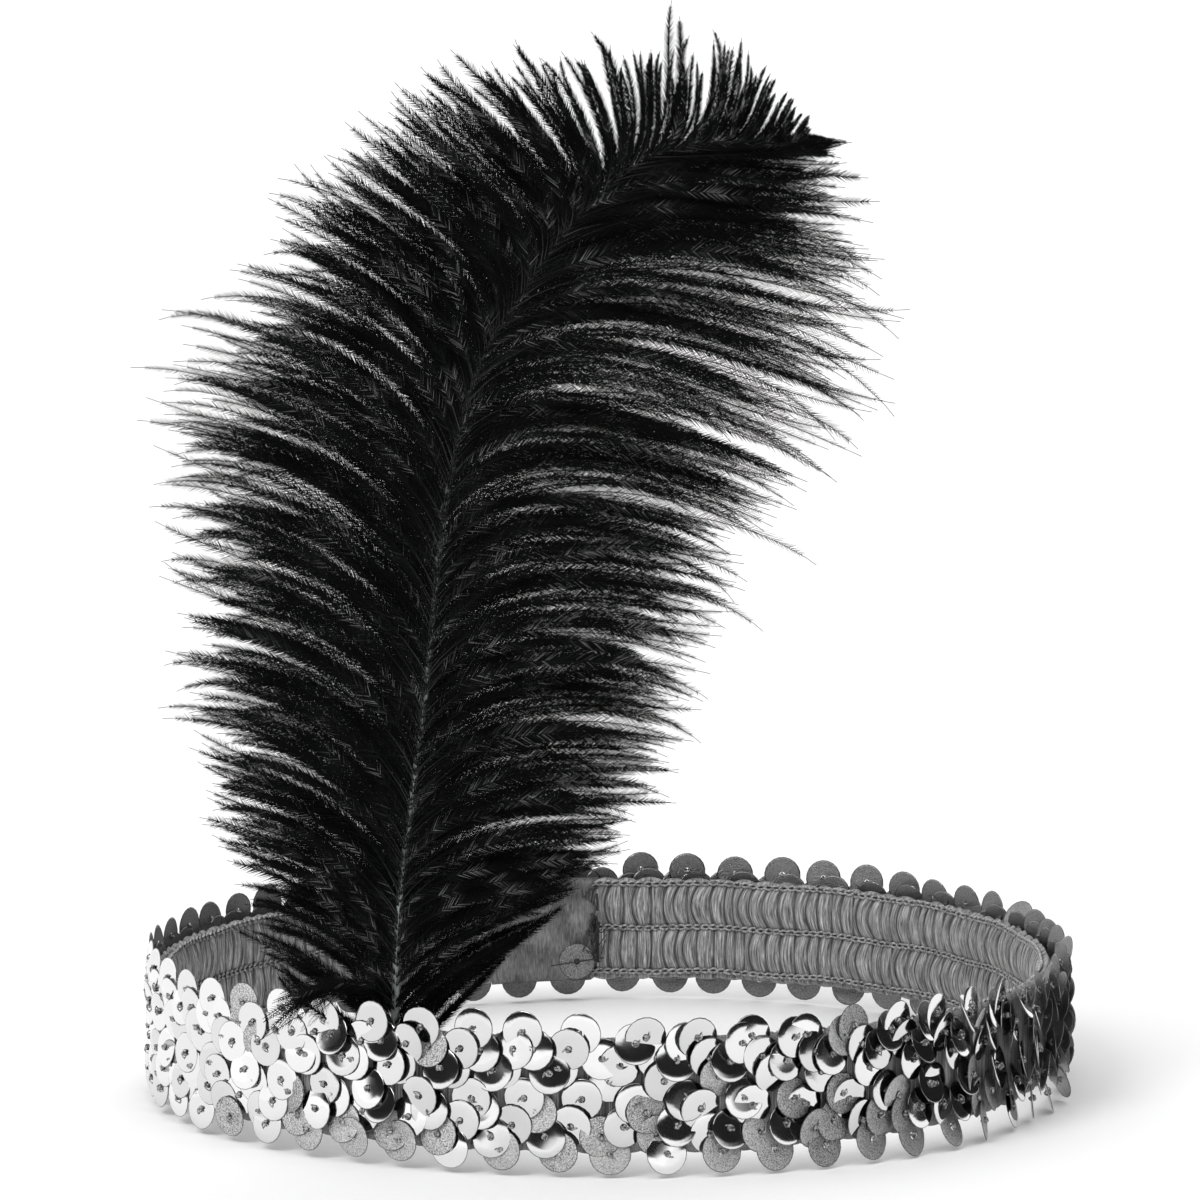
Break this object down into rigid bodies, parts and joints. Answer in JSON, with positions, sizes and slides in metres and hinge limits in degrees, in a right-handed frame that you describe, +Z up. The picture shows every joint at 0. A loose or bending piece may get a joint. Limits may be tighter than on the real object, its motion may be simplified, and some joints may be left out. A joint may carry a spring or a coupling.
{
  "type": "flapper feather headband",
  "caption": "Stretch sequin headband standing on its lower edge, with a curling ostrich plume rising from inside its front.",
  "frame": {"origin": "middle of the whole headband's box, on the plane its lower edge stands on", "axes": "+Z up out of the ring along the plume, -Y towards the front of the head, +X to the right in the front view"},
  "size_m": [0.1336, 0.1366, 0.1532],
  "materials": {
    "grey_elastic": "matt gathered thread over elastic",
    "silver_sequin": "mirror silver film",
    "quill_horn": "satin grey-green horn",
    "black_feather": "soft black barbs with a slight sheen"
  },
  "bodies": {
    "root": {"elastic_band": "grey_elastic", "seam_lap": "grey_elastic", "sequins_left": "silver_sequin", "sequins_right": "silver_sequin", "feather_quill": "quill_horn", "plume": "black_feather"}
  },
  "joints": []
}
